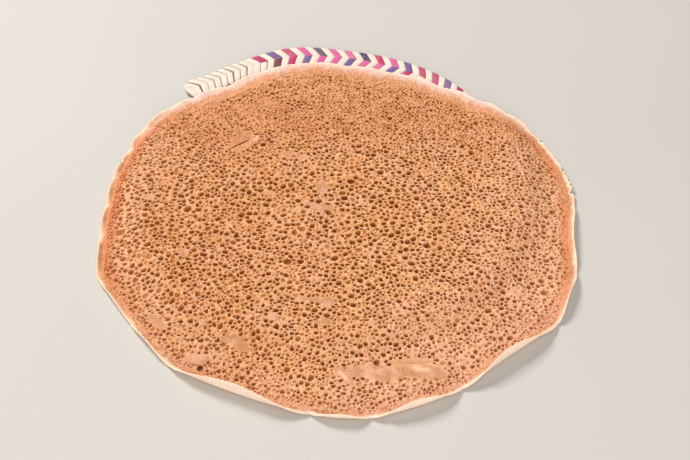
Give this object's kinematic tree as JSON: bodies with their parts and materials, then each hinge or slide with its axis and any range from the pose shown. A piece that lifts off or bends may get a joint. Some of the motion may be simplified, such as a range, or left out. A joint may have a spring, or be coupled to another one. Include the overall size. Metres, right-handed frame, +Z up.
{
  "type": "injera flatbread on a straw plate",
  "caption": "Round soft flatbread with an eyed upper side and a curled wavy rim, lying over a flat plate of coiled straw plait.",
  "frame": {"origin": "centre of the whole part's box, on the table under the plate", "axes": "+Z up; -Y towards the front, where the bread laps furthest past the plate; +X to the right"},
  "size_m": [0.4988, 0.5242, 0.0158],
  "materials": {
    "injera_crumb": "soft matt crumb full of small round eyes, pinkish tan with browner hollows, and a smooth cream edge and underside",
    "plaited_straw": "flat cream straw in a chevron plait, some strands dyed magenta, pink and purple, satin"
  },
  "bodies": {
    "root": {"injera": "injera_crumb", "straw_plate": "plaited_straw"}
  },
  "joints": []
}
